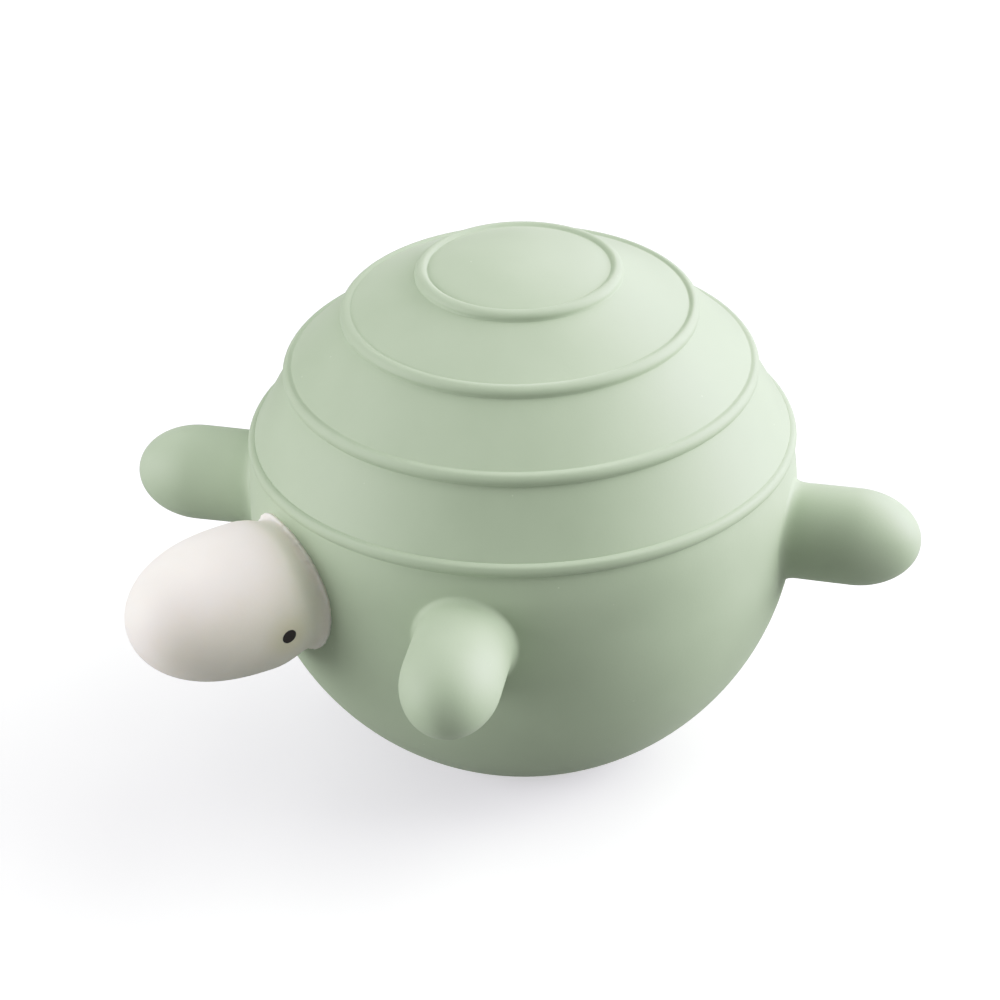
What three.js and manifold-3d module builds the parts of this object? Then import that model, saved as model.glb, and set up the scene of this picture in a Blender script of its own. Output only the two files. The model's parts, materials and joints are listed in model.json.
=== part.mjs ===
// A hollow rubber turtle bath ball. A carapace with ring beads closes a round belly bowl, and the head and four
// flippers sit with ball-shaped roots in cups of the belly, where the rubber bends.
// Millimetres and degrees, +Z up, head towards -Y, origin at the middle of the flat foot.
import * as THREE from "three";
import { mergeVertices } from "three/addons/utils/BufferGeometryUtils.js";
import Module from "manifold-3d";

// Ball
const BALL_RADIUS = 40; // outside of the belly, a true sphere up to its widest line
const SHELL_WALL = 3; // rubber wall of the belly
const FOOT_RADIUS = 14; // flat that the toy stands on
const FIT_GAP = 0.3; // bond line between pieces that are fixed in each other

// Ring beads, each from a crease on the dome's sphere down to a foot that lies deeper
const DOME_RISE = 1.1; // how far the dome's sphere stands outside the belly's
const RING_COUNT = 4;
const LOWEST_RING_LATITUDE = 19;
const RING_LATITUDE_STEP = 17.48;
const BEAD_WIDTH = 2;
const BEAD_HEIGHT = 0.55; // of the crest over the dome's sphere
const BEAD_DROP = 0.35; // of the foot under it
const BEAD_CREST = 0.46; // share of the width from the crease to the crest

// Lap joint in the lowest crease: the carapace's tongue drops inside the belly's rim
const LAP_DEPTH = 2.4;
const RIM_THICKNESS = 2; // from the tongue out to the crease

// Cups in the belly that hold the limbs, with a filleted collar round each flipper
const CUP_WALL = 2.2;
const SEAT_GAP = 0.4; // round a ball root, which turns in its cup
const COLLAR_LIP = 0.5; // rubber left round the mouth of a flipper's cup
const COLLAR_FILLET = 1.8;
const COLLAR_DROP = 1.1; // from the middle of the ball root down to the lip, so that the flipper can bend

// Flippers
const FLIPPER_LENGTH = 16.9; // from the middle of the ball root to the tip
const FLIPPER_RADIUS = 7;
const FLIPPER_NECK_RADIUS = 6.7;
const FLIPPER_TIP_LENGTH = 9.5; // rounded end
const FLIPPER_WALL = 2.2;
const FLIPPER_OPENING = 24; // half angle of the opening in the ball root
const FLIPPER_ROOT_HEIGHT = 0.5; // above the middle of the ball
const FLIPPER_DROOP = 1.25;
const FRONT_FLIPPER_ANGLE = 45.5; // from the head, seen from above
const REAR_FLIPPER_ANGLE = 133.4;

// Head
const HEAD_LENGTH = 26.5; // from the middle of the ball root to the tip
const HEAD_RADIUS = 10.8;
const HEAD_BULGE = 7.7; // distance along the head to its widest place
const HEAD_BLUNTNESS = 0.8; // 1 is an ellipse, less is blunter
const HEAD_NECK_RADIUS = 9.7;
const HEAD_NECK_LENGTH = 1.4; // from the lip to the narrowest place
const HEAD_LIP_RADIUS = 10; // ball root, which shows as a lip against the belly
const HEAD_LIP_HEIGHT = 1.2;
const HEAD_WALL = 2.4;
const HEAD_OPENING = 60;
const HEAD_ROOT_HEIGHT = 0.2;
const HEAD_LIFT = 2;

// Eyes
const EYE_RADIUS = 1.1;
const EYE_DEPTH = 0.6;
const EYE_DOME = 0.15;
const EYE_ALONG = 7.3; // along the head from the middle of its ball root
const EYE_ANGLE = 96.7; // round the head from its top

// Plug that closes the casting hole in the foot
const PLUG_FLANGE_RADIUS = 6;
const PLUG_FLANGE_THICKNESS = 1.2;
const PLUG_STEM_RADIUS = 4;
const PLUG_BARB_RADIUS = 5.4;
const PLUG_BARB_HEIGHT = 2.3;
const PLUG_END_RADIUS = 3.4;

// Facets
const BALL_SIDES = 48;
const LIMB_SIDES = 16;
const HEAD_SIDES = 24;
const EYE_SIDES = 12;
const BEAD_TURN_STEPS = 3;
const BEAD_FALL_STEPS = 2;
const BELLY_STEPS = 10;
const FLARE_STEPS = 3;
const CAP_STEPS = 4;
const INNER_STEPS = 6;
const ROOT_STEPS = 4;
const SWELL_STEPS = 3;
const TIP_STEPS = 6;

// Worked out from the driving dimensions
const DOME_RADIUS = BALL_RADIUS + DOME_RISE;
const CAVITY_RADIUS = BALL_RADIUS - SHELL_WALL;
const FOOT_Z = -Math.sqrt(BALL_RADIUS ** 2 - FOOT_RADIUS ** 2); // from the middle of the ball
const FLOOR_Z = FOOT_Z + SHELL_WALL;
const RIM_Z = DOME_RADIUS * Math.sin(radians(LOWEST_RING_LATITUDE));
const CREASE_RADIUS = DOME_RADIUS * Math.cos(radians(LOWEST_RING_LATITUDE));
const TONGUE_RADIUS = CREASE_RADIUS - RIM_THICKNESS;
const TONGUE_Z = RIM_Z - LAP_DEPTH;
const LEDGE_Z = TONGUE_Z - FIT_GAP;
const COLLAR_RADIUS = FLIPPER_NECK_RADIUS + SEAT_GAP + COLLAR_LIP;

const wasm = await Module();
wasm.setup();

function radians(degrees) {
  return THREE.MathUtils.degToRad(degrees);
}

function point(x, y) {
  return new THREE.Vector2(x, y);
}

// Points on a circle between two angles, both ends included.
function arc(centre, radius, from, to, steps) {
  return Array.from({ length: steps + 1 }, (_, i) => {
    const angle = from + ((to - from) * i) / steps;
    return point(centre.x + radius * Math.cos(angle), centre.y + radius * Math.sin(angle));
  });
}

// Points of a curve given as a function of 0 to 1, both ends included.
function sampled(curve, steps) {
  return Array.from({ length: steps + 1 }, (_, i) => curve(i / steps));
}

// Drops a point that repeats the one before it.
function withoutRepeats(outline) {
  return outline.filter((p, i) => i === 0 || p.distanceTo(outline[i - 1]) > 1e-6);
}

// A closed solid from a geometry whose shared vertices are merged.
function solid(geometry) {
  const bare = geometry.clone();
  bare.deleteAttribute("normal");
  bare.deleteAttribute("uv");
  const merged = mergeVertices(bare);
  return new wasm.Manifold(
    new wasm.Mesh({
      numProp: 3,
      vertProperties: merged.attributes.position.array,
      triVerts: new Uint32Array(merged.index.array),
    }),
  );
}

// An outline of radius and height turned about +Y, as limbs, eyes and cups are.
function turned(outline, sides) {
  return new THREE.LatheGeometry(withoutRepeats(outline), sides);
}

// An outline of radius and height turned about +Z, as the ball's own pieces are.
function turnedUpright(outline, sides) {
  return turned(outline, sides).rotateX(Math.PI / 2);
}

function rubber(colour) {
  return new THREE.MeshStandardMaterial({ color: colour, roughness: 0.75, metalness: 0 });
}

function namedMesh(name, shape, material) {
  const { vertProperties, triVerts } = shape.getMesh();
  const geometry = new THREE.BufferGeometry();
  geometry.setAttribute("position", new THREE.BufferAttribute(vertProperties, 3));
  geometry.setIndex(new THREE.BufferAttribute(triVerts, 1));
  geometry.computeVertexNormals();
  const mesh = new THREE.Mesh(geometry, material);
  mesh.name = name;
  return mesh;
}

// A group whose +Y runs along a direction, with +Z as near to upright as that allows.
function groupAlong(position, direction) {
  const out = direction.clone().normalize();
  const side = new THREE.Vector3().crossVectors(out, new THREE.Vector3(0, 0, 1)).normalize();
  const up = new THREE.Vector3().crossVectors(side, out);
  const group = new THREE.Group();
  group.position.copy(position);
  group.quaternion.setFromRotationMatrix(new THREE.Matrix4().makeBasis(side, out, up));
  group.updateMatrix();
  return group;
}

// Direction at an angle round the ball from the head, raised by a pitch.
function heading(angleFromHead, pitch) {
  const azimuth = radians(angleFromHead - 90);
  const level = Math.cos(radians(pitch));
  return new THREE.Vector3(
    level * Math.cos(azimuth),
    level * Math.sin(azimuth),
    Math.sin(radians(pitch)),
  );
}

// Middle of a limb's ball root: a distance from the middle of the ball, at a height above it.
function rootCentre(angleFromHead, height, distance) {
  const reach = Math.sqrt(distance ** 2 - height ** 2);
  return heading(angleFromHead, 0).multiplyScalar(reach).setZ(height);
}

// A point over the dome's sphere at a latitude in radians.
function domePoint(latitude, height) {
  const radius = DOME_RADIUS + height;
  return point(radius * Math.cos(latitude), radius * Math.sin(latitude));
}

function ringLatitude(ring) {
  return LOWEST_RING_LATITUDE + ring * RING_LATITUDE_STEP;
}

// Bead from its foot up to its ring's crease: it turns out steeply to the crest and falls gently to the crease.
function beadOutline(ring) {
  const crease = radians(ringLatitude(ring));
  const crest = BEAD_WIDTH * BEAD_CREST;
  const below = (drop, height) => domePoint(crease - drop / DOME_RADIUS, height);
  const turnOut = (t) => {
    const angle = ((1 - t) * Math.PI) / 2;
    const height = (BEAD_HEIGHT + BEAD_DROP) * Math.cos(angle) - BEAD_DROP;
    return below(crest + (BEAD_WIDTH - crest) * Math.sin(angle), height);
  };
  const fall = (t) => below(crest * (1 - t), BEAD_HEIGHT * (1 - t * t));
  return [...sampled(turnOut, BEAD_TURN_STEPS), ...sampled(fall, BEAD_FALL_STEPS)];
}

function carapaceOutline() {
  const middle = point(0, 0);
  const shoulderZ = RIM_Z + FIT_GAP;
  const shoulderRadius = Math.sqrt(DOME_RADIUS ** 2 - shoulderZ ** 2);
  const tongueLatitude = Math.asin(TONGUE_Z / CAVITY_RADIUS);
  const capLatitude = radians(ringLatitude(RING_COUNT - 1));
  const outline = [
    ...arc(middle, CAVITY_RADIUS, Math.PI / 2, tongueLatitude, INNER_STEPS),
    point(TONGUE_RADIUS, TONGUE_Z),
    point(TONGUE_RADIUS, shoulderZ),
    point(shoulderRadius, shoulderZ),
  ];
  for (let ring = 1; ring < RING_COUNT; ring++) outline.push(...beadOutline(ring));
  outline.push(...arc(middle, DOME_RADIUS, capLatitude, Math.PI / 2, CAP_STEPS));
  return outline;
}

// The belly's wall swells from its own sphere at the widest line out to the foot of the lowest bead.
function flare(latitude) {
  return sampled((t) => {
    const radius = BALL_RADIUS + (DOME_RISE - BEAD_DROP) * t * t * (3 - 2 * t);
    return point(radius * Math.cos(latitude * t), radius * Math.sin(latitude * t));
  }, FLARE_STEPS);
}

function bellyOutline() {
  const middle = point(0, 0);
  const bead = beadOutline(0);
  const beadFoot = Math.atan2(bead[0].y, bead[0].x);
  const foot = Math.atan2(FOOT_Z, FOOT_RADIUS);
  const floor = Math.asin(FLOOR_Z / CAVITY_RADIUS);
  const ledge = Math.asin(LEDGE_Z / CAVITY_RADIUS);
  const flangeSeat = FOOT_Z + PLUG_FLANGE_THICKNESS + FIT_GAP;
  const holeRadius = PLUG_STEM_RADIUS + FIT_GAP;
  const seatRadius = PLUG_FLANGE_RADIUS + FIT_GAP;
  return [
    point(holeRadius, flangeSeat),
    point(seatRadius, flangeSeat),
    point(seatRadius, FOOT_Z),
    ...arc(middle, BALL_RADIUS, foot, 0, BELLY_STEPS),
    ...flare(beadFoot),
    ...bead,
    point(TONGUE_RADIUS + FIT_GAP, RIM_Z),
    point(TONGUE_RADIUS + FIT_GAP, LEDGE_Z),
    ...arc(middle, CAVITY_RADIUS, ledge, floor, INNER_STEPS),
    point(holeRadius, FLOOR_Z),
    point(holeRadius, flangeSeat),
  ];
}

function plugOutline() {
  const flangeZ = FOOT_Z + PLUG_FLANGE_THICKNESS;
  const barbZ = FLOOR_Z + FIT_GAP;
  return [
    point(0, FOOT_Z),
    point(PLUG_FLANGE_RADIUS, FOOT_Z),
    point(PLUG_FLANGE_RADIUS, flangeZ),
    point(PLUG_STEM_RADIUS, flangeZ),
    point(PLUG_STEM_RADIUS, barbZ),
    point(PLUG_BARB_RADIUS, barbZ),
    point(PLUG_END_RADIUS, barbZ + PLUG_BARB_HEIGHT),
    point(0, barbZ + PLUG_BARB_HEIGHT),
  ];
}

// Ball root from its lowest point, or from an opening of a half angle, up to its widest circle.
function ballRoot(radius, opening) {
  return arc(point(0, 0), radius, radians(opening - 90), 0, ROOT_STEPS);
}

// Skin of a flipper drawn in by an inset: it swells from the neck and ends in half an ellipse.
function flipperSkin(inset) {
  const neck = FLIPPER_NECK_RADIUS - inset;
  const swell = FLIPPER_RADIUS - FLIPPER_NECK_RADIUS;
  const tipStart = FLIPPER_LENGTH - FLIPPER_TIP_LENGTH;
  const side = (t) => point(neck + swell * Math.sin((t * Math.PI) / 2), tipStart * t);
  const tip = (t) => {
    const angle = (t * Math.PI) / 2;
    const length = FLIPPER_TIP_LENGTH - inset;
    return point((neck + swell) * Math.cos(angle), tipStart + length * Math.sin(angle));
  };
  return [...sampled(side, SWELL_STEPS), ...sampled(tip, TIP_STEPS)];
}

// Skin of the head drawn in by an inset: lip, neck, bulge and a blunt egg-shaped end.
function headSkin(inset) {
  const lipTop = point(Math.sqrt(HEAD_LIP_RADIUS ** 2 - HEAD_LIP_HEIGHT ** 2), HEAD_LIP_HEIGHT);
  const neckAt = HEAD_LIP_HEIGHT + HEAD_NECK_LENGTH;
  const bulge = (t) =>
    point(
      HEAD_NECK_RADIUS + (HEAD_RADIUS - HEAD_NECK_RADIUS) * Math.sin((t * Math.PI) / 2) - inset,
      neckAt + (HEAD_BULGE - neckAt) * t,
    );
  const end = (t) => {
    const angle = (t * Math.PI) / 2;
    const length = HEAD_LENGTH - HEAD_BULGE - inset;
    return point(
      (HEAD_RADIUS - inset) * Math.max(0, Math.cos(angle)),
      HEAD_BULGE + length * Math.sin(angle) ** HEAD_BLUNTNESS,
    );
  };
  return [
    point(lipTop.x - inset, lipTop.y),
    ...sampled(bulge, SWELL_STEPS),
    ...sampled(end, TIP_STEPS),
  ];
}

// A hollow limb: its outer skin less its cavity, which opens through the bottom of the ball root.
function hollowLimb(skin, rootRadius, wall, opening, sides) {
  const cavityRoot = ballRoot(rootRadius - wall, opening);
  const mouth = cavityRoot[0].clone().setY(-rootRadius);
  const outer = solid(turned([...ballRoot(rootRadius, 0), ...skin(0)], sides));
  const cavity = [point(0, mouth.y), mouth, ...cavityRoot, ...skin(wall)];
  return outer.subtract(solid(turned(cavity, sides)));
}

// Round cup that holds a ball root, kept inside the ball's wall.
function cupBody(limb, rootRadius, sides) {
  const sphere = (radius, count) =>
    turned(arc(point(0, 0), radius, -Math.PI / 2, Math.PI / 2, 2 * ROOT_STEPS), count);
  const cup = solid(sphere(rootRadius + SEAT_GAP + CUP_WALL, sides).applyMatrix4(limb.matrix));
  return cup.intersect(solid(sphere(BALL_RADIUS - SHELL_WALL / 2, BALL_SIDES)));
}

// What a ball root needs free: its seat, and an air hole from the limb's opening into the ball.
function cupHollow(limb, rootRadius, wall, opening, sides) {
  const seatRadius = rootRadius + SEAT_GAP;
  const holeRadius = (rootRadius - wall) * Math.sin(radians(opening));
  const depth = seatRadius + 2 * CUP_WALL;
  const seat = arc(point(0, 0), seatRadius, -Math.PI / 2, Math.PI / 2, 2 * ROOT_STEPS);
  const hole = new THREE.CylinderGeometry(holeRadius, holeRadius, depth, sides);
  hole.translate(0, -depth / 2, 0);
  return solid(turned(seat, sides).applyMatrix4(limb.matrix)).add(
    solid(hole.applyMatrix4(limb.matrix)),
  );
}

// The collar's fillet runs from the belly's sphere up to the lip, tangent to both.
const FILLET_CENTRE_RADIUS = COLLAR_RADIUS + COLLAR_FILLET;
const FILLET_CENTRE_HEIGHT = Math.sqrt(
  (BALL_RADIUS + COLLAR_FILLET) ** 2 - FILLET_CENTRE_RADIUS ** 2,
);
const FLIPPER_ROOT_DISTANCE = FILLET_CENTRE_HEIGHT + COLLAR_DROP;

// Filleted collar round the mouth of a flipper's cup, square to the belly's surface.
function collar(rootPosition) {
  const lipY = FILLET_CENTRE_HEIGHT - FLIPPER_ROOT_DISTANCE;
  const centre = point(FILLET_CENTRE_RADIUS, lipY);
  const toeAngle = Math.PI + Math.atan2(FILLET_CENTRE_HEIGHT, FILLET_CENTRE_RADIUS);
  const fillet = arc(centre, COLLAR_FILLET, Math.PI, toeAngle, ROOT_STEPS);
  const buriedY = fillet.at(-1).y - SHELL_WALL / 2;
  const outline = [
    point(0, buriedY),
    point(fillet.at(-1).x, buriedY),
    ...fillet.reverse(),
    point(0, lipY),
  ];
  const frame = groupAlong(rootPosition, rootPosition);
  return solid(turned(outline, LIMB_SIDES).applyMatrix4(frame.matrix));
}

const FLIPPERS = [
  { name: "front_left_flipper", angle: FRONT_FLIPPER_ANGLE },
  { name: "front_right_flipper", angle: -FRONT_FLIPPER_ANGLE },
  { name: "rear_left_flipper", angle: REAR_FLIPPER_ANGLE },
  { name: "rear_right_flipper", angle: -REAR_FLIPPER_ANGLE },
];

function flipperGroup(angle) {
  const root = rootCentre(angle, FLIPPER_ROOT_HEIGHT, FLIPPER_ROOT_DISTANCE);
  return groupAlong(root, heading(angle, -FLIPPER_DROOP));
}

// The head's lip lies on the belly, so its ball root is centred where the belly is as wide as the lip.
function headGroup() {
  const distance = Math.sqrt(BALL_RADIUS ** 2 - HEAD_LIP_RADIUS ** 2);
  return groupAlong(rootCentre(0, HEAD_ROOT_HEIGHT, distance), heading(0, HEAD_LIFT));
}

// Radius of the head's bulge or end at a distance along it.
function headRadiusAt(along) {
  const neckAt = HEAD_LIP_HEIGHT + HEAD_NECK_LENGTH;
  if (along < HEAD_BULGE) {
    const t = (along - neckAt) / (HEAD_BULGE - neckAt);
    return HEAD_NECK_RADIUS + (HEAD_RADIUS - HEAD_NECK_RADIUS) * Math.sin((t * Math.PI) / 2);
  }
  const sine = ((along - HEAD_BULGE) / (HEAD_LENGTH - HEAD_BULGE)) ** (1 / HEAD_BLUNTNESS);
  return HEAD_RADIUS * Math.sqrt(1 - sine ** 2);
}

// Group at an eye, with +Y out of the head's skin; side is 1 for the left eye and -1 for the right.
function eyeGroup(side) {
  const step = 0.01;
  const slope = (headRadiusAt(EYE_ALONG + step) - headRadiusAt(EYE_ALONG - step)) / (2 * step);
  const round = radians(EYE_ANGLE);
  const outward = new THREE.Vector3(-side * Math.sin(round), 0, Math.cos(round));
  const position = outward.clone().multiplyScalar(headRadiusAt(EYE_ALONG)).setY(EYE_ALONG);
  return groupAlong(position, outward.setY(-slope));
}

function eyeSolid() {
  const domeRadius = (EYE_RADIUS ** 2 + EYE_DOME ** 2) / (2 * EYE_DOME);
  const edge = Math.acos(EYE_RADIUS / domeRadius);
  const dome = arc(point(0, EYE_DOME - domeRadius), domeRadius, edge, Math.PI / 2, SWELL_STEPS);
  return solid(turned([point(0, -EYE_DEPTH), point(EYE_RADIUS, -EYE_DEPTH), ...dome], EYE_SIDES));
}

function eyePocket(eye) {
  const radius = EYE_RADIUS + FIT_GAP;
  const depth = EYE_DEPTH + FIT_GAP;
  const pocket = new THREE.CylinderGeometry(radius, radius, 2 * depth, EYE_SIDES);
  return solid(pocket.applyMatrix4(eye.matrix));
}

const SHELL_GREEN = 0xbccfb2;
const HEAD_WHITE = 0xebe6df;
const EYE_BLACK = 0x262024;

const turtle = new THREE.Group();
const ball = new THREE.Group();
ball.position.z = -FOOT_Z;
turtle.add(ball);

const head = headGroup();
const flippers = FLIPPERS.map(({ name, angle }) => ({ name, group: flipperGroup(angle) }));
ball.add(head, ...flippers.map(({ group }) => group));

let belly = solid(turnedUpright(bellyOutline(), BALL_SIDES));
let sockets = cupHollow(head, HEAD_LIP_RADIUS, HEAD_WALL, HEAD_OPENING, HEAD_SIDES);
belly = belly.add(cupBody(head, HEAD_LIP_RADIUS, HEAD_SIDES));
for (const { name, group } of flippers) {
  belly = belly.add(cupBody(group, FLIPPER_NECK_RADIUS, LIMB_SIDES)).add(collar(group.position));
  sockets = sockets.add(
    cupHollow(group, FLIPPER_NECK_RADIUS, FLIPPER_WALL, FLIPPER_OPENING, LIMB_SIDES),
  );
  const flipper = hollowLimb(
    flipperSkin,
    FLIPPER_NECK_RADIUS,
    FLIPPER_WALL,
    FLIPPER_OPENING,
    LIMB_SIDES,
  );
  group.add(namedMesh(name, flipper, rubber(SHELL_GREEN)));
}

// The cups stop at the ledge, where the carapace's tongue comes down.
const tongueRoom = new THREE.CylinderGeometry(
  TONGUE_RADIUS + FIT_GAP,
  TONGUE_RADIUS + FIT_GAP,
  BALL_RADIUS,
  BALL_SIDES,
);
tongueRoom.rotateX(Math.PI / 2).translate(0, 0, LEDGE_Z + BALL_RADIUS / 2);
belly = belly.subtract(solid(tongueRoom)).subtract(sockets);
const carapace = solid(turnedUpright(carapaceOutline(), BALL_SIDES)).subtract(sockets);
const plug = solid(turnedUpright(plugOutline(), LIMB_SIDES));
ball.add(
  namedMesh("belly_shell", belly, rubber(SHELL_GREEN)),
  namedMesh("carapace_shell", carapace, rubber(SHELL_GREEN)),
  namedMesh("base_plug", plug, rubber(SHELL_GREEN)),
);

let headShell = hollowLimb(headSkin, HEAD_LIP_RADIUS, HEAD_WALL, HEAD_OPENING, HEAD_SIDES);
for (const [name, side] of [
  ["left_eye", 1],
  ["right_eye", -1],
]) {
  const eye = eyeGroup(side);
  headShell = headShell.subtract(eyePocket(eye));
  eye.add(namedMesh(name, eyeSolid(), rubber(EYE_BLACK)));
  head.add(eye);
}
head.add(namedMesh("head_shell", headShell, rubber(HEAD_WHITE)));

export default turtle;
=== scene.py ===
import json
import math

import bpy
from mathutils import Matrix, Vector


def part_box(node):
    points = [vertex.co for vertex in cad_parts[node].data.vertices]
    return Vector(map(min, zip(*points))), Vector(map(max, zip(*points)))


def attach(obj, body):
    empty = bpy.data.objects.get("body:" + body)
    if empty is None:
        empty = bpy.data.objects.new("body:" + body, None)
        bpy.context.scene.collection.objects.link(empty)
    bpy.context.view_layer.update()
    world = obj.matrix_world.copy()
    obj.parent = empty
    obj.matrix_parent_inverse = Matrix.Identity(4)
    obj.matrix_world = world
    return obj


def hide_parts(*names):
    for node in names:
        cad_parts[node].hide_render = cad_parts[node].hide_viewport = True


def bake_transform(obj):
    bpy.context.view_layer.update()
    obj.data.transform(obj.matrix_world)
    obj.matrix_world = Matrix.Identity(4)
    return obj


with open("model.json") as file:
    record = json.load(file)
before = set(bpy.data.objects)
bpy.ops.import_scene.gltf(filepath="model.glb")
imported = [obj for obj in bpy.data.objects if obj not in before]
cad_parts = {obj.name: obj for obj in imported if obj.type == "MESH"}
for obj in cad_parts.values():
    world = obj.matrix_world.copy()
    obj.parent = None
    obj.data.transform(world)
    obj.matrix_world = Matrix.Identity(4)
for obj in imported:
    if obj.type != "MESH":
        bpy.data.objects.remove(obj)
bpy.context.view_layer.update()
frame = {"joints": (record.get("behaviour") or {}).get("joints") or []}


# Belly: the lower bowl of a hollow ball, natural rubber cast about 3 mm thick in a two-part mould.
# Its rim is the lowest ring bead, which covers the bond to the carapace, and its foot is flat.
mm = 0.001
ball_radius = 40 * mm
shell_wall = 3 * mm
dome_rise = 1.1 * mm
dome_radius = ball_radius + dome_rise
ball_centre = Vector((0, 0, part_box("carapace_shell")[1].z - dome_radius))
lowest_ring = math.radians(19)
ring_step = math.radians(17.48)
ring_count = 4
bead_width = 2 * mm
bead_height = 0.65 * mm
bead_drop = 0.35 * mm
bead_crest = 0.46
bead_fullness = 3
band_sag = dome_radius * (1 - math.cos((ring_step - bead_width / dome_radius) / 2))
plug_hole_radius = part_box("base_plug")[1].x + 0.3 * mm
sage_green = "#A9B8A0"
sage_shade = "#A5B49C"
sage_bloom = "#C5D1BC"


def linear(code):
    """A linear RGBA colour from an sRGB hex value."""
    parts = [int(code[i : i + 2], 16) / 255 for i in (1, 3, 5)]
    return [c / 12.92 if c <= 0.04045 else ((c + 0.055) / 1.055) ** 2.4 for c in parts] + [1]


def add(tree, kind, links=None, **settings):
    """Adds a node with its settings, and links each input to a node or socket, or gives it a value."""
    node = tree.nodes.new(kind)
    for name, value in settings.items():
        setattr(node, name, value)
    for key, value in (links or {}).items():
        if isinstance(value, bpy.types.Node):
            value = value.outputs[0]
        if isinstance(value, bpy.types.NodeSocket):
            tree.links.new(value, node.inputs[key])
        else:
            node.inputs[key].default_value = value
    return node


def moulded_rubber(name, body, shade, bloom, depth):
    """Natural rubber from a plaster mould: matt and even to the eye, faintly mottled, with a few pale specks.

    Its grain is drawn coarser than a real one, so that it shows in the render.
    """
    mottle_size = 9 * mm
    grain_size = 0.45 * mm
    speck_spacing = 5.5 * mm
    material = bpy.data.materials.new(name)
    material.use_nodes = True
    tree = material.node_tree
    tree.nodes.clear()
    place = add(tree, "ShaderNodeTexCoord").outputs["Object"]
    mottle = add(tree, "ShaderNodeTexNoise", {"Vector": place, "Scale": 1 / mottle_size, "Detail": 3})
    mottled = add(tree, "ShaderNodeValToRGB", {"Fac": mottle})
    mottled.color_ramp.elements[0].position = 0.3
    mottled.color_ramp.elements[0].color = linear(shade)
    mottled.color_ramp.elements[1].position = 0.7
    mottled.color_ramp.elements[1].color = linear(body)
    speck = add(
        tree, "ShaderNodeTexVoronoi", {"Vector": place, "Scale": 1 / speck_spacing, "Randomness": 1}
    )
    speckle = add(
        tree,
        "ShaderNodeMapRange",
        {"Value": speck.outputs["Distance"], "From Min": 0.012, "From Max": 0.03, "To Min": 0.7, "To Max": 0},
    )
    colour = add(
        tree,
        "ShaderNodeMix",
        {0: speckle, 6: mottled, 7: linear(bloom)},
        data_type="RGBA",
    )
    grain = add(tree, "ShaderNodeTexNoise", {"Vector": place, "Scale": 1 / grain_size, "Detail": 2})
    relief = add(tree, "ShaderNodeBump", {"Height": grain, "Strength": 0.25, "Distance": 0.04 * mm})
    matt = add(
        tree,
        "ShaderNodeMapRange",
        {"Value": mottle, "From Min": 0.3, "From Max": 0.7, "To Min": 0.56, "To Max": 0.66},
    )
    surface = add(
        tree,
        "ShaderNodeBsdfPrincipled",
        {
            "Base Color": colour.outputs[2],
            "Roughness": matt,
            "Normal": relief,
            "IOR": 1.52,
            "Specular IOR Level": 0.4,
            "Sheen Weight": 0.12,
            "Sheen Roughness": 0.4,
            "Subsurface Weight": depth,
            "Subsurface Radius": (1, 0.9, 0.8),
            "Subsurface Scale": 0.8 * mm,
        },
    )
    add(tree, "ShaderNodeOutputMaterial", {"Surface": surface})
    return material


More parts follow.
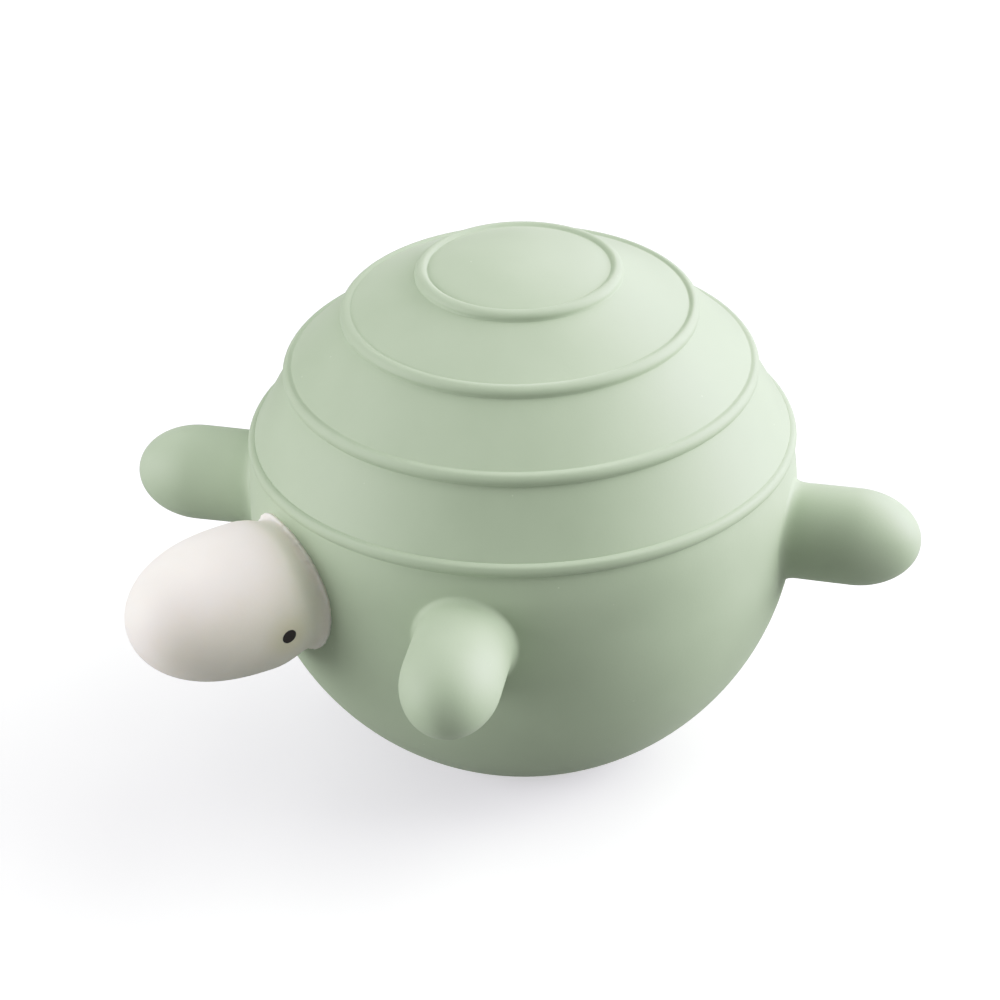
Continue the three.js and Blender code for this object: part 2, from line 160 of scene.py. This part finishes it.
def ringed_shell_tree():
    """One shell of the ball: rows of latitude from rim to pole, with a bead below the crease of each ring."""
    tree = bpy.data.node_groups.new("ringed shell", "GeometryNodeTree")
    for kind, names in (
        ("NodeSocketInt", ("Sides", "Rows")),
        (
            "NodeSocketFloat",
            (
                "Turn",
                "Row crowding",
                "Rim latitude",
                "Pole latitude",
                "Centre height",
                "Ball radius",
                "Dome rise",
                "Lowest ring",
                "Ring step",
                "First bead",
                "Last bead",
                "Bead width",
                "Bead height",
                "Bead drop",
                "Bead crest",
                "Bead fullness",
                "Band lift",
                "Band sag",
            ),
        ),
        ("NodeSocketMaterial", ("Rubber",)),
    ):
        for name in names:
            tree.interface.new_socket(name, in_out="INPUT", socket_type=kind)
    tree.interface.new_socket("Shell", in_out="OUTPUT", socket_type="NodeSocketGeometry")
    size = add(tree, "NodeGroupInput").outputs

    grid = add(
        tree,
        "GeometryNodeMeshGrid",
        {"Size X": 1, "Size Y": 1, "Vertices X": size["Sides"], "Vertices Y": size["Rows"]},
    )
    on_grid = add(tree, "ShaderNodeSeparateXYZ", {0: add(tree, "GeometryNodeInputPosition")})
    longitude = add(tree, "ShaderNodeMath", {0: on_grid.outputs["X"], 1: size["Turn"]}, operation="MULTIPLY")
    row = add(tree, "ShaderNodeMath", {0: on_grid.outputs["Y"], 1: 0.5}, operation="ADD")
    crowded = add(tree, "ShaderNodeMath", {0: row, 1: size["Row crowding"]}, operation="POWER")
    latitude = add(
        tree,
        "ShaderNodeMapRange",
        {"Value": crowded, "To Min": size["Rim latitude"], "To Max": size["Pole latitude"]},
    )

    # How far below the crease of the ring above, first in ring steps and then along the dome.
    above_lowest = add(tree, "ShaderNodeMath", {0: latitude, 1: size["Lowest ring"]}, operation="SUBTRACT")
    steps = add(tree, "ShaderNodeMath", {0: above_lowest, 1: size["Ring step"]}, operation="DIVIDE")
    ring = add(
        tree,
        "ShaderNodeClamp",
        {
            "Value": add(tree, "ShaderNodeMath", {0: steps}, operation="CEIL"),
            "Min": size["First bead"],
            "Max": size["Last bead"],
        },
    )
    below = add(tree, "ShaderNodeMath", {0: ring, 1: steps}, operation="SUBTRACT")
    dome = add(tree, "ShaderNodeMath", {0: size["Ball radius"], 1: size["Dome rise"]}, operation="ADD")
    pitch = add(tree, "ShaderNodeMath", {0: size["Ring step"], 1: dome}, operation="MULTIPLY")
    drop = add(tree, "ShaderNodeMath", {0: below, 1: pitch}, operation="MULTIPLY")

    # A bead swells from its crease to its crest, and turns in steeply to a foot that lies deeper than the
    # crease.
    crest = add(tree, "ShaderNodeMath", {0: size["Bead width"], 1: size["Bead crest"]}, operation="MULTIPLY")
    to_crest = add(
        tree,
        "ShaderNodeMapRange",
        {"Value": drop, "From Min": 0, "From Max": crest, "To Min": 1, "To Max": 0},
    )
    swell = add(tree, "ShaderNodeMath", {0: to_crest, 1: size["Bead fullness"]}, operation="POWER")
    unswollen = add(tree, "ShaderNodeMath", {0: swell, 1: size["Bead height"]}, operation="MULTIPLY")
    to_foot = add(
        tree, "ShaderNodeMapRange", {"Value": drop, "From Min": crest, "From Max": size["Bead width"]}
    )
    turn_in = add(tree, "ShaderNodeMath", {0: to_foot, 1: to_foot}, operation="MULTIPLY")
    left_over = add(tree, "ShaderNodeMath", {0: 1, 1: turn_in}, operation="SUBTRACT")
    fall = add(tree, "ShaderNodeMath", {0: left_over}, operation="SQRT")
    whole = add(tree, "ShaderNodeMath", {0: size["Bead height"], 1: size["Bead drop"]}, operation="ADD")
    over_foot = add(tree, "ShaderNodeMath", {0: fall, 1: whole}, operation="MULTIPLY")
    over_crease = add(tree, "ShaderNodeMath", {0: over_foot, 1: size["Bead drop"]}, operation="SUBTRACT")
    bead = add(tree, "ShaderNodeMath", {0: over_crease, 1: unswollen}, operation="SUBTRACT")

    # The wall swells from the ball to the lowest bead's foot, and a straight band runs from each foot out to
    # the next crease.
    bead_angle = add(tree, "ShaderNodeMath", {0: size["Bead width"], 1: dome}, operation="DIVIDE")
    swell_top = add(tree, "ShaderNodeMath", {0: size["Lowest ring"], 1: bead_angle}, operation="SUBTRACT")
    low_wall = add(tree, "ShaderNodeMath", {0: size["Ball radius"], 1: size["Bead drop"]}, operation="ADD")
    wall = add(
        tree,
        "ShaderNodeMapRange",
        {"Value": latitude, "From Min": 0, "From Max": swell_top, "To Min": low_wall, "To Max": dome},
        interpolation_type="SMOOTHSTEP",
    )
    along_band = add(
        tree,
        "ShaderNodeMapRange",
        {"Value": drop, "From Min": size["Bead width"], "From Max": pitch, "To Min": -1, "To Max": 1},
    )
    bow = add(
        tree, "ShaderNodeMath", {0: along_band, 1: along_band, 2: -1}, operation="MULTIPLY_ADD"
    )
    banded = add(tree, "ShaderNodeMath", {0: bow, 1: size["Band sag"], 2: wall}, operation="MULTIPLY_ADD")
    outward = add(
        tree,
        "ShaderNodeMapRange",
        {"Value": along_band, "From Min": -1, "From Max": 1, "To Min": 0, "To Max": size["Band lift"]},
    )
    lifted = add(tree, "ShaderNodeMath", {0: banded, 1: outward}, operation="ADD")
    radius = add(tree, "ShaderNodeMath", {0: lifted, 1: bead}, operation="ADD")

    # Back to places in space, with everything under the foot pressed flat.
    level = add(
        tree,
        "ShaderNodeMath",
        {0: radius, 1: add(tree, "ShaderNodeMath", {0: latitude}, operation="COSINE")},
        operation="MULTIPLY",
    )
    height = add(
        tree,
        "ShaderNodeMath",
        {
            0: radius,
            1: add(tree, "ShaderNodeMath", {0: latitude}, operation="SINE"),
            2: size["Centre height"],
        },
        operation="MULTIPLY_ADD",
    )
    turned = add(
        tree,
        "ShaderNodeCombineXYZ",
        {
            "X": add(
                tree,
                "ShaderNodeMath",
                {0: level, 1: add(tree, "ShaderNodeMath", {0: longitude}, operation="COSINE")},
                operation="MULTIPLY",
            ),
            "Y": add(
                tree,
                "ShaderNodeMath",
                {0: level, 1: add(tree, "ShaderNodeMath", {0: longitude}, operation="SINE")},
                operation="MULTIPLY",
            ),
            "Z": add(tree, "ShaderNodeMath", {0: height, 1: 0}, operation="MAXIMUM"),
        },
    )
    shaped = add(tree, "GeometryNodeSetPosition", {"Geometry": grid, "Position": turned})
    closed = add(tree, "GeometryNodeMergeByDistance", {"Geometry": shaped, "Distance": 0.001 * mm})
    smooth = add(tree, "GeometryNodeSetShadeSmooth", {"Geometry": closed})
    real = add(tree, "GeometryNodeRealizeInstances", {"Geometry": smooth})
    finished = add(tree, "GeometryNodeSetMaterial", {"Geometry": real, "Material": size["Rubber"]})
    add(tree, "NodeGroupOutput", {"Shell": finished})
    return tree


def ringed_shell(name, sizes):
    """A plain mesh grown by the ringed shell tree with these sizes, with the rubber's wall behind it."""
    piece = bpy.data.objects.new(name, bpy.data.meshes.new(name))
    bpy.context.scene.collection.objects.link(piece)
    grow = piece.modifiers.new("ringed shell", "NODES")
    grow.node_group = ringed_shells
    for socket in ringed_shells.interface.items_tree:
        if socket.in_out == "INPUT":
            grow[socket.identifier] = sizes[socket.name]
    bpy.context.view_layer.update()
    grown = piece.evaluated_get(bpy.context.evaluated_depsgraph_get())
    mesh = bpy.data.meshes.new_from_object(grown)
    piece.modifiers.clear()
    piece.data = mesh
    piece.modifiers.new("rubber wall", "SOLIDIFY").thickness = shell_wall
    return piece


sage_rubber = moulded_rubber("moulded natural rubber, sage", sage_green, sage_shade, sage_bloom, 0.0)
ringed_shells = ringed_shell_tree()
belly_sizes = {
    "Sides": 129,
    "Rows": 260,
    "Turn": -math.tau,
    "Row crowding": 1.7,
    "Rim latitude": lowest_ring,
    "Pole latitude": -math.acos(plug_hole_radius / ball_radius),
    "Centre height": ball_centre.z,
    "Ball radius": ball_radius,
    "Dome rise": dome_rise,
    "Lowest ring": lowest_ring,
    "Ring step": ring_step,
    "First bead": 0.0,
    "Last bead": 0.0,
    "Bead width": bead_width,
    "Bead height": bead_height,
    "Bead drop": bead_drop,
    "Bead crest": bead_crest,
    "Bead fullness": bead_fullness,
    "Band lift": 0.0,
    "Band sag": 0.0,
    "Rubber": sage_rubber,
}
belly = ringed_shell("belly_skin", belly_sizes)
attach(belly, "shell")
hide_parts("belly_shell")


# Plug: a soft rubber stopper pressed into the casting hole, its flange flush with the foot. It is turned
# here with the rolled edge and the shallow dish that a moulded stopper has.
plug_low, plug_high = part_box("base_plug")
plug_radius = plug_high.x
plug_flange = 1.2 * mm
plug_stem = 4 * mm
plug_roll = 0.35 * mm
plug_dish = 0.25 * mm
dish_flatness = 6
dish_shares = (0, 0.2, 0.4, 0.55, 0.7, 0.8, 0.87)
roll_angles = [math.radians(d) for d in range(0, 91, 15)]
plug_sides = 96


def skin(name, rings, material):
    """A closed skin through rings of points. A ring of one point is a pole, and an open end is capped."""
    points, faces, starts = [], [], []
    for ring in rings:
        starts.append(len(points))
        points.extend(ring)
    for lower, upper, start, top in zip(rings, rings[1:], starts, starts[1:]):
        count = max(len(lower), len(upper))
        for i in range(count):
            j = (i + 1) % count
            if len(lower) == 1:
                faces.append((start, top + j, top + i))
            elif len(upper) == 1:
                faces.append((start + i, start + j, top))
            else:
                faces.append((start + i, start + j, top + j, top + i))
    for ring, start, turn in ((rings[0], starts[0], -1), (rings[-1], starts[-1], 1)):
        if len(ring) > 1:
            faces.append([start + i for i in range(len(ring))][::turn])
    mesh = bpy.data.meshes.new(name)
    mesh.from_pydata(points, [], faces)
    mesh.validate()
    mesh.shade_smooth()
    mesh.materials.append(material)
    piece = bpy.data.objects.new(name, mesh)
    bpy.context.scene.collection.objects.link(piece)
    return piece


def around(radius, height, sides):
    """A level ring of points about +Z, or the pole itself."""
    if radius == 0:
        return [Vector((0, 0, height))]
    turns = [math.tau * i / sides for i in range(sides)]
    return [Vector((radius * math.cos(a), radius * math.sin(a), height)) for a in turns]


plug_outline = [(plug_radius * s, plug_dish * (1 - s**dish_flatness)) for s in dish_shares]
plug_outline += [
    (plug_radius - plug_roll * (1 - math.sin(a)), plug_roll * (1 - math.cos(a))) for a in roll_angles
]
plug_outline += [(plug_radius, plug_flange), (plug_stem, plug_flange)]
plug_outline += [(plug_stem, plug_high.z), (0, plug_high.z)]
plug = skin("plug_skin", [around(r, z, plug_sides) for r, z in plug_outline], sage_rubber)
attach(plug, "shell")
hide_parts("base_plug")


# Carapace: the domed upper shell, cast in the same sage rubber. Three ring beads run round it, each under a
# sharp crease, and its lower edge is tucked behind the belly's bead, where it is bonded.
carapace_tuck = 0.4 * mm
carapace = ringed_shell(
    "carapace_skin",
    belly_sizes
    | {
        "Sides": 97,
        "Rows": 480,
        "Turn": math.tau,
        "Row crowding": 1.0,
        "Rim latitude": lowest_ring - carapace_tuck / dome_radius,
        "Pole latitude": math.pi / 2,
        "First bead": 1.0,
        "Last bead": ring_count - 1.0,
        "Band lift": bead_drop,
        "Band sag": band_sag,
    },
)
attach(carapace, "shell")
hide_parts("carapace_shell")


# Flippers: four hollow paddles cast in one with the ball, so the rubber runs into the belly in a soft fillet.
# Each bends at its root in the rubber; here fillet and paddle are drawn as one skin, fixed where it rests.
# The roots of the front pair lean a little towards the head.
flipper_length = 16.9 * mm
flipper_radius = 7.05 * mm
flipper_neck = 7 * mm
flipper_tip = 9.5 * mm
flipper_droop = math.radians(0.4)
flipper_fillet = 0.9 * mm
fillet_height = 2 * mm
flipper_skirt = 1.6 * mm
skirt_tuck = 0.06 * mm
front_root_shift = 0.45 * mm
flipper_sides = 96
skirt_steps = 4
fillet_steps = 14
side_steps = 12
tip_steps = 24
slope_step = 0.01 * mm
meeting_rounds = 12


def limb_place(body, pitch):
    """Where a limb stands: its root on the joint, +Y out along it at a pitch, +X along the hinge."""
    joint = next(j for j in frame["joints"] if j["child"] == body)
    hinge = Vector(joint["axis"]).normalized()
    level = Vector((0, 0, 1)).cross(hinge)
    out = level * math.cos(pitch) + Vector((0, 0, math.sin(pitch)))
    place = Matrix((hinge, out, hinge.cross(out))).transposed().to_4x4()
    return Matrix.Translation(joint["pos_m"]) @ place


def belly_radius(latitude):
    """Radius of the belly's wall, as the ringed shell swells below its bead."""
    t = min(max(latitude / (lowest_ring - bead_width / dome_radius), 0), 1)
    return ball_radius + (dome_rise - bead_drop) * t * t * (3 - 2 * t)


def on_belly(place, angle, radius):
    """Distance along a limb at which a line beside its axis meets the belly."""
    beside = place @ Vector((radius * math.cos(angle), 0, radius * math.sin(angle))) - ball_centre
    out = place.col[1].xyz
    along, reach = beside.dot(out), ball_radius
    for _ in range(meeting_rounds):
        distance = math.sqrt(reach**2 - beside.length_squared + along**2) - along
        reach = belly_radius(math.asin((beside + out * distance).z / reach))
    return distance


def rounded_corner(start, corner, end, steps):
    """Points of an outline that leaves a start towards a corner and curves round to an end."""
    shares = [i / steps for i in range(steps + 1)]
    return [
        tuple((1 - t) ** 2 * a + 2 * t * (1 - t) * b + t**2 * c for a, b, c in zip(start, corner, end))
        for t in shares
    ]


def flipper_outline(place, angle):
    """Radius and distance along the flipper at one angle round it: skirt, fillet, side and rounded tip."""
    toe = flipper_neck + flipper_fillet
    outline = []
    for i in range(skirt_steps + 1):
        radius = toe + flipper_skirt * (1 - i / skirt_steps)
        outline.append((radius, on_belly(place, angle, radius) - skirt_tuck * (1 - i / skirt_steps)))
    beyond, before = on_belly(place, angle, toe + slope_step), on_belly(place, angle, toe - slope_step)
    slope = (beyond - before) / (2 * slope_step)
    tip_start = flipper_length - flipper_tip
    corner_along = outline[-1][1] - slope * flipper_fillet
    top_along = corner_along + fillet_height

    def side(along):
        return flipper_neck + (flipper_radius - flipper_neck) * math.sin(along / tip_start * math.pi / 2)

    corner = (side(corner_along), corner_along)
    top = (side(top_along), top_along)
    outline += rounded_corner(outline[-1], corner, top, fillet_steps)[1:]
    for i in range(1, side_steps + 1):
        along = top_along + (tip_start - top_along) * i / side_steps
        outline.append((side(along), along))
    for i in range(1, tip_steps):
        a = math.pi / 2 * i / tip_steps
        outline.append((flipper_radius * math.cos(a), tip_start + flipper_tip * math.sin(a)))
    return outline


def limb_skin(name, place, outline_at, length, sides, material):
    """A limb's skin: its outline drawn at each angle round it, closed at the tip."""
    turns = [-math.tau * i / sides for i in range(sides)]
    outlines = [outline_at(place, a) for a in turns]
    rings = [
        [place @ Vector((r * math.cos(a), along, r * math.sin(a))) for a, (r, along) in zip(turns, row)]
        for row in zip(*outlines)
    ]
    return skin(name, rings + [[place @ Vector((0, length, 0))]], material)


for body in ("front_left_flipper", "front_right_flipper", "rear_left_flipper", "rear_right_flipper"):
    place = limb_place(body, -flipper_droop)
    if body.startswith("front"):
        to_head = front_root_shift if "left" in body else -front_root_shift
        lean = Matrix.Rotation(math.atan(to_head / flipper_length), 4, "Z")
        place = place @ Matrix.Translation((to_head, 0, 0)) @ lean
    flipper = limb_skin(f"{body}_skin", place, flipper_outline, flipper_length, flipper_sides, sage_rubber)
    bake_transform(flipper)
    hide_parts(body)


# Head: a hollow egg cast in off-white rubber, with a pinched neck and a thin lip bonded to the belly.
# The lip is trimmed by hand, so its edge is ragged, it stands out in a nub at the top of the far side and is
# cut closer beside the nub, where the neck is pinched in behind it.
head_length = 26.5 * mm
head_radius = 10.8 * mm
head_bulge = 7.7 * mm
head_bluntness = 0.8
head_neck = 9.65 * mm
head_neck_at = 2.4 * mm
flare_end = 3.6 * mm
flare_bend = 0.25
head_lift = math.radians(2)
lip_radius = 9.95 * mm
lip_edge = 0.52 * mm
lip_round = 0.2 * mm
lip_chamfer = 0.3 * lip_round
lip_buried = 0.4 * mm
lip_ragged = 0.12 * mm
rag_waves = (11, 23, 37, 53)
lip_nub = 1 * mm
nub_angle, nub_spread = 45, 25
lip_trim = 0.9 * mm
trim_angle, trim_spread = 110, 48
neck_trim = 1.35 * mm
neck_angle, neck_spread = 118, 38
side_pinch = 0.25 * mm
pinch_angle, pinch_spread = 190, 35
pinch_end = 6 * mm
head_sides = 160
flare_steps = 16
bulge_steps = 12
end_steps = 40
head_white = "#EEE9E0"
head_shade = "#EAE5DB"
head_bloom = "#F6F2EE"
head_place = limb_place("head", head_lift)


def head_radius_at(along):
    """Radius of the head from its neck to its tip."""
    if along < head_bulge:
        t = (along - head_neck_at) / (head_bulge - head_neck_at)
        return head_neck + (head_radius - head_neck) * math.sin(t * math.pi / 2)
    sine = ((along - head_bulge) / (head_length - head_bulge)) ** (1 / head_bluntness)
    return head_radius * math.sqrt(max(0, 1 - sine**2))


def near(angle, middle, spread):
    """A share that is 1 at a middle angle round the head, in degrees, and fades away on both sides of it."""
    return math.exp(-(((math.degrees(angle) % 360 - middle) / spread) ** 2))


def head_outline(place, angle):
    """Radius and distance along the head at one angle round it: lip, flared neck, bulge and blunt end."""
    waves = [math.sin(n * angle + n * n) for n in rag_waves]
    ragged = lip_ragged * sum(waves) / len(waves)
    lip = lip_radius + lip_nub * near(angle, nub_angle, nub_spread)
    lip -= lip_trim * near(angle, trim_angle, trim_spread)
    drawn_in = neck_trim * near(angle, neck_angle, neck_spread)
    drawn_in += side_pinch * near(angle, pinch_angle, pinch_spread)
    foot = on_belly(place, angle, lip)
    edge = (lip + ragged, foot + lip_edge + ragged)

    def radius_at(along):
        fade = min(max((pinch_end - along) / (pinch_end - edge[1]), 0), 1)
        return head_radius_at(along) - drawn_in * fade * fade * (3 - 2 * fade)

    outline = [
        (lip - lip_buried, foot - lip_buried),
        (edge[0], foot),
        (edge[0], edge[1] - lip_round),
        (edge[0] - lip_chamfer, edge[1] - lip_chamfer),
    ]
    flare_top = (radius_at(flare_end), flare_end)
    slope = (radius_at(flare_end + slope_step) - flare_top[0]) / slope_step
    bend_at = edge[1] + flare_bend * (flare_end - edge[1])
    bend = (flare_top[0] - slope * (flare_end - bend_at), bend_at)
    lip_top = (edge[0] - lip_round, edge[1])
    outline += rounded_corner(lip_top, bend, flare_top, flare_steps)
    for i in range(1, bulge_steps + 1):
        along = flare_end + (head_bulge - flare_end) * i / bulge_steps
        outline.append((radius_at(along), along))
    for i in range(1, end_steps):
        reach = math.sin(math.pi / 2 * i / end_steps) ** head_bluntness
        along = head_bulge + (head_length - head_bulge) * reach
        outline.append((head_radius_at(along), along))
    return outline


off_white_rubber = moulded_rubber(
    "moulded natural rubber, off-white", head_white, head_shade, head_bloom, 0.6
)
head = limb_skin("head_skin", head_place, head_outline, head_length, head_sides, off_white_rubber)
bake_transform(head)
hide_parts("head_shell")


# Eyes: two dots of flat black-brown paint, dabbed on the sides of the head. Each lies on the head's own curve
# and is a hair thicker in its middle.
eye_radius = 1.1 * mm
eye_along = 7.3 * mm
eye_angle = math.radians(96.7)
paint_thickness = 0.05 * mm
dab_steps = 8
dab_flatness = 4
eye_sides = 48
eye_brown_black = "#262024"
eye_thin_paint = "#30282B"


def flat_paint(name, colour, thin):
    """Thick matt paint, dabbed on by hand: a soft brush grain in its gloss and its surface."""
    material = bpy.data.materials.new(name)
    material.use_nodes = True
    tree = material.node_tree
    tree.nodes.clear()
    place = add(tree, "ShaderNodeTexCoord").outputs["Object"]
    dab = add(tree, "ShaderNodeTexNoise", {"Vector": place, "Scale": 1 / (0.6 * mm), "Detail": 3})
    tone = add(tree, "ShaderNodeValToRGB", {"Fac": dab})
    tone.color_ramp.elements[0].color = linear(colour)
    tone.color_ramp.elements[1].color = linear(thin)
    gloss = add(tree, "ShaderNodeMapRange", {"Value": dab, "To Min": 0.5, "To Max": 0.7})
    relief = add(tree, "ShaderNodeBump", {"Height": dab, "Strength": 0.2, "Distance": 0.03 * mm})
    surface = add(
        tree,
        "ShaderNodeBsdfPrincipled",
        {"Base Color": tone, "Roughness": gloss, "Normal": relief, "IOR": 1.5, "Specular IOR Level": 0.3},
    )
    add(tree, "ShaderNodeOutputMaterial", {"Surface": surface})
    return material


def eye_ring(side, reach, lift):
    """A ring of points round an eye's middle, lifted off the head's skin."""
    ring = []
    for i in range(eye_sides):
        a = -side * math.tau * i / eye_sides
        along = eye_along + reach * math.cos(a)
        radius = head_radius_at(along)
        turn = eye_angle + reach * math.sin(a) / radius
        out = (radius + lift) * math.sin(turn)
        ring.append(head_place @ Vector((side * out, along, (radius + lift) * math.cos(turn))))
    return ring


eye_paint = flat_paint("dabbed flat paint, black-brown", eye_brown_black, eye_thin_paint)
left_side = 1 if (head_place @ Vector((1, 0, 0)) - head_place.translation).x > 0 else -1

# The rubber is tinted a little yellow round each eye, fading out over yellow_reach from the eye's middle.
eye_halo_yellow = "#DDD6B4"
yellow_reach = 5 * mm
yellow_share = 0.6
head_tree = off_white_rubber.node_tree
base_link = next(link for link in head_tree.links if link.to_socket.name == "Base Color")
eye_middle = sum(eye_ring(left_side, 0.1 * mm, 0), Vector()) / eye_sides
one_side = add(
    head_tree,
    "ShaderNodeVectorMath",
    {0: add(head_tree, "ShaderNodeTexCoord").outputs["Object"]},
    operation="ABSOLUTE",
)
from_eye = add(
    head_tree,
    "ShaderNodeVectorMath",
    {0: one_side, 1: [abs(c) for c in eye_middle]},
    operation="DISTANCE",
)
halo_share = add(
    head_tree,
    "ShaderNodeMapRange",
    {"Value": from_eye.outputs["Value"], "From Max": yellow_reach, "To Min": yellow_share, "To Max": 0},
    interpolation_type="SMOOTHSTEP",
)
halo_tinted = add(
    head_tree,
    "ShaderNodeMix",
    {0: halo_share, 6: base_link.from_socket, 7: linear(eye_halo_yellow)},
    data_type="RGBA",
)
head_tree.links.new(halo_tinted.outputs[2], base_link.to_socket)
for name, side in (("left_eye", left_side), ("right_eye", -left_side)):
    rings = [eye_ring(side, eye_radius, -2 * paint_thickness), eye_ring(side, eye_radius, 0)]
    for step in range(1, dab_steps):
        share = 1 - step / dab_steps
        rings.append(eye_ring(side, eye_radius * share, paint_thickness * (1 - share**dab_flatness)))
    eye = skin(f"{name}_dot", rings, eye_paint)
    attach(eye, "head")
    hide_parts(name)


# Studio: a round of white paper in a white room, under soft boxes at the right, the left, the back and two
# overhead, with nothing lit from the front. A long lens looks down at the toy from its left side.
camera_azimuth = math.radians(57.4)
camera_height = math.radians(30.45)
camera_distance = 560 * mm
camera_roll = math.radians(-1.17)
to_right = Vector((math.cos(camera_azimuth), math.sin(camera_azimuth), 0))
to_front = Vector((math.sin(camera_azimuth), -math.cos(camera_azimuth), 0))
straight_up = Vector((0, 0, 1))

lens = bpy.data.cameras.new("long lens")
lens.lens = 137.1
lens.shift_x = -0.02384
lens.shift_y = 0.00405
lens.clip_start = 0.01
camera = bpy.data.objects.new("camera", lens)
bpy.context.scene.collection.objects.link(camera)
towards = to_front * math.cos(camera_height) + straight_up * math.sin(camera_height)
camera.location = ball_centre + towards * camera_distance
aim = (-towards).to_track_quat("-Z", "Y").to_matrix() @ Matrix.Rotation(camera_roll, 3, "Z")
camera.rotation_euler = aim.to_euler()
bpy.context.scene.camera = camera

# The paper is set to glow a little for the lens alone, as an overexposed ground does, and to throw less light
# back at the toy than it shows. Seen from below it is clear.
paper_white = "#D9D9DB"
paper_bounce = "#9A9A9A"
paper_glow = 0.48
paper_radius = 550 * mm
paper_level = -0.02 * mm
paper_sides = 128
paper = bpy.data.materials.new("matt white paper")
paper.use_nodes = True
paper_tree = paper.node_tree
paper_tree.nodes.clear()
paper_fibre = add(
    paper_tree,
    "ShaderNodeTexNoise",
    {"Vector": add(paper_tree, "ShaderNodeTexCoord").outputs["Object"], "Scale": 1 / (2 * mm)},
)
paper_tooth = add(
    paper_tree, "ShaderNodeBump", {"Height": paper_fibre, "Strength": 0.05, "Distance": 0.02 * mm}
)
seen = add(paper_tree, "ShaderNodeLightPath").outputs["Is Camera Ray"]
paper_lift = add(paper_tree, "ShaderNodeMath", {0: seen, 1: paper_glow}, operation="MULTIPLY")
paper_tone = add(
    paper_tree,
    "ShaderNodeMix",
    {0: seen, 6: linear(paper_bounce), 7: linear(paper_white)},
    data_type="RGBA",
)
paper_surface = add(
    paper_tree,
    "ShaderNodeBsdfPrincipled",
    {
        "Base Color": paper_tone.outputs[2],
        "Roughness": 0.9,
        "Normal": paper_tooth,
        "Specular IOR Level": 0.1,
        "Emission Color": linear("#FFFFFF"),
        "Emission Strength": paper_lift,
    },
)
paper_back = add(paper_tree, "ShaderNodeNewGeometry").outputs["Backfacing"]
one_sided = add(
    paper_tree,
    "ShaderNodeMixShader",
    {0: paper_back, 1: paper_surface, 2: add(paper_tree, "ShaderNodeBsdfTransparent")},
)
add(paper_tree, "ShaderNodeOutputMaterial", {"Surface": one_sided})
paper_edge = around(paper_radius, paper_level, paper_sides)
paper_mesh = bpy.data.meshes.new("paper_round")
paper_mesh.from_pydata(paper_edge, [], [range(paper_sides)])
paper_mesh.materials.append(paper)
paper_round = bpy.data.objects.new("paper_round", paper_mesh)
bpy.context.scene.collection.objects.link(paper_round)

box_distance = 0.9
for name, bearing, elevation, width, height, watts in (
    ("right_box", 93, 23, 0.85, 0.75, 14.6),
    ("left_box", 284, 14, 0.75, 0.5, 7.8),
    ("back_box", 145, 32, 0.6, 0.5, 3.5),
    ("overhead_right_box", 90, 68, 0.9, 0.6, 3),
    ("overhead_left_box", 253, 60, 0.9, 0.6, 3),
):
    box = bpy.data.lights.new(name, "AREA")
    box.shape = "RECTANGLE"
    box.size, box.size_y = width, height
    box.energy = watts
    lamp = bpy.data.objects.new(name, box)
    bpy.context.scene.collection.objects.link(lamp)
    round_toy, rise = math.radians(bearing), math.radians(elevation)
    level = to_right * math.sin(round_toy) + to_front * math.cos(round_toy)
    away = level * math.cos(rise) + straight_up * math.sin(rise)
    lamp.location = ball_centre + away * box_distance
    lamp.rotation_euler = (-away).to_track_quat("-Z", "Y").to_euler()

room_fill = 0.09
room_white = 1.3
room = bpy.data.worlds.new("studio room")
room.use_nodes = True
room_seen = add(room.node_tree, "ShaderNodeLightPath").outputs["Is Camera Ray"]
room_glow = add(
    room.node_tree, "ShaderNodeMapRange", {"Value": room_seen, "To Min": room_fill, "To Max": room_white}
)
room_wall = room.node_tree.nodes["Background"]
room_wall.inputs["Color"].default_value = linear("#FFFFFF")
room.node_tree.links.new(room_glow.outputs[0], room_wall.inputs["Strength"])
bpy.context.scene.world = room

# The film lifts its mid tones, rolls off gently to white and takes a little green out of the highlights.
film_white = 1.26
film_tones = ((0.246, 0.31), (0.514, 0.617), (0.718, 0.8))
red, blue, all_channels = 0, 2, 3
highlight, highlight_start = 0.63, 0.4
film = bpy.context.scene.view_settings
film.view_transform = "Standard"
film.use_curve_mapping = True
film.curve_mapping.white_level = (film_white, film_white, film_white)
for light, tone in film_tones:
    film.curve_mapping.curves[all_channels].points.new(light, tone)
for channel, lift in ((red, 0.014), (blue, 0.032)):
    film.curve_mapping.curves[channel].points.new(highlight_start, highlight_start)
    film.curve_mapping.curves[channel].points.new(highlight, highlight + lift)
film.curve_mapping.update()
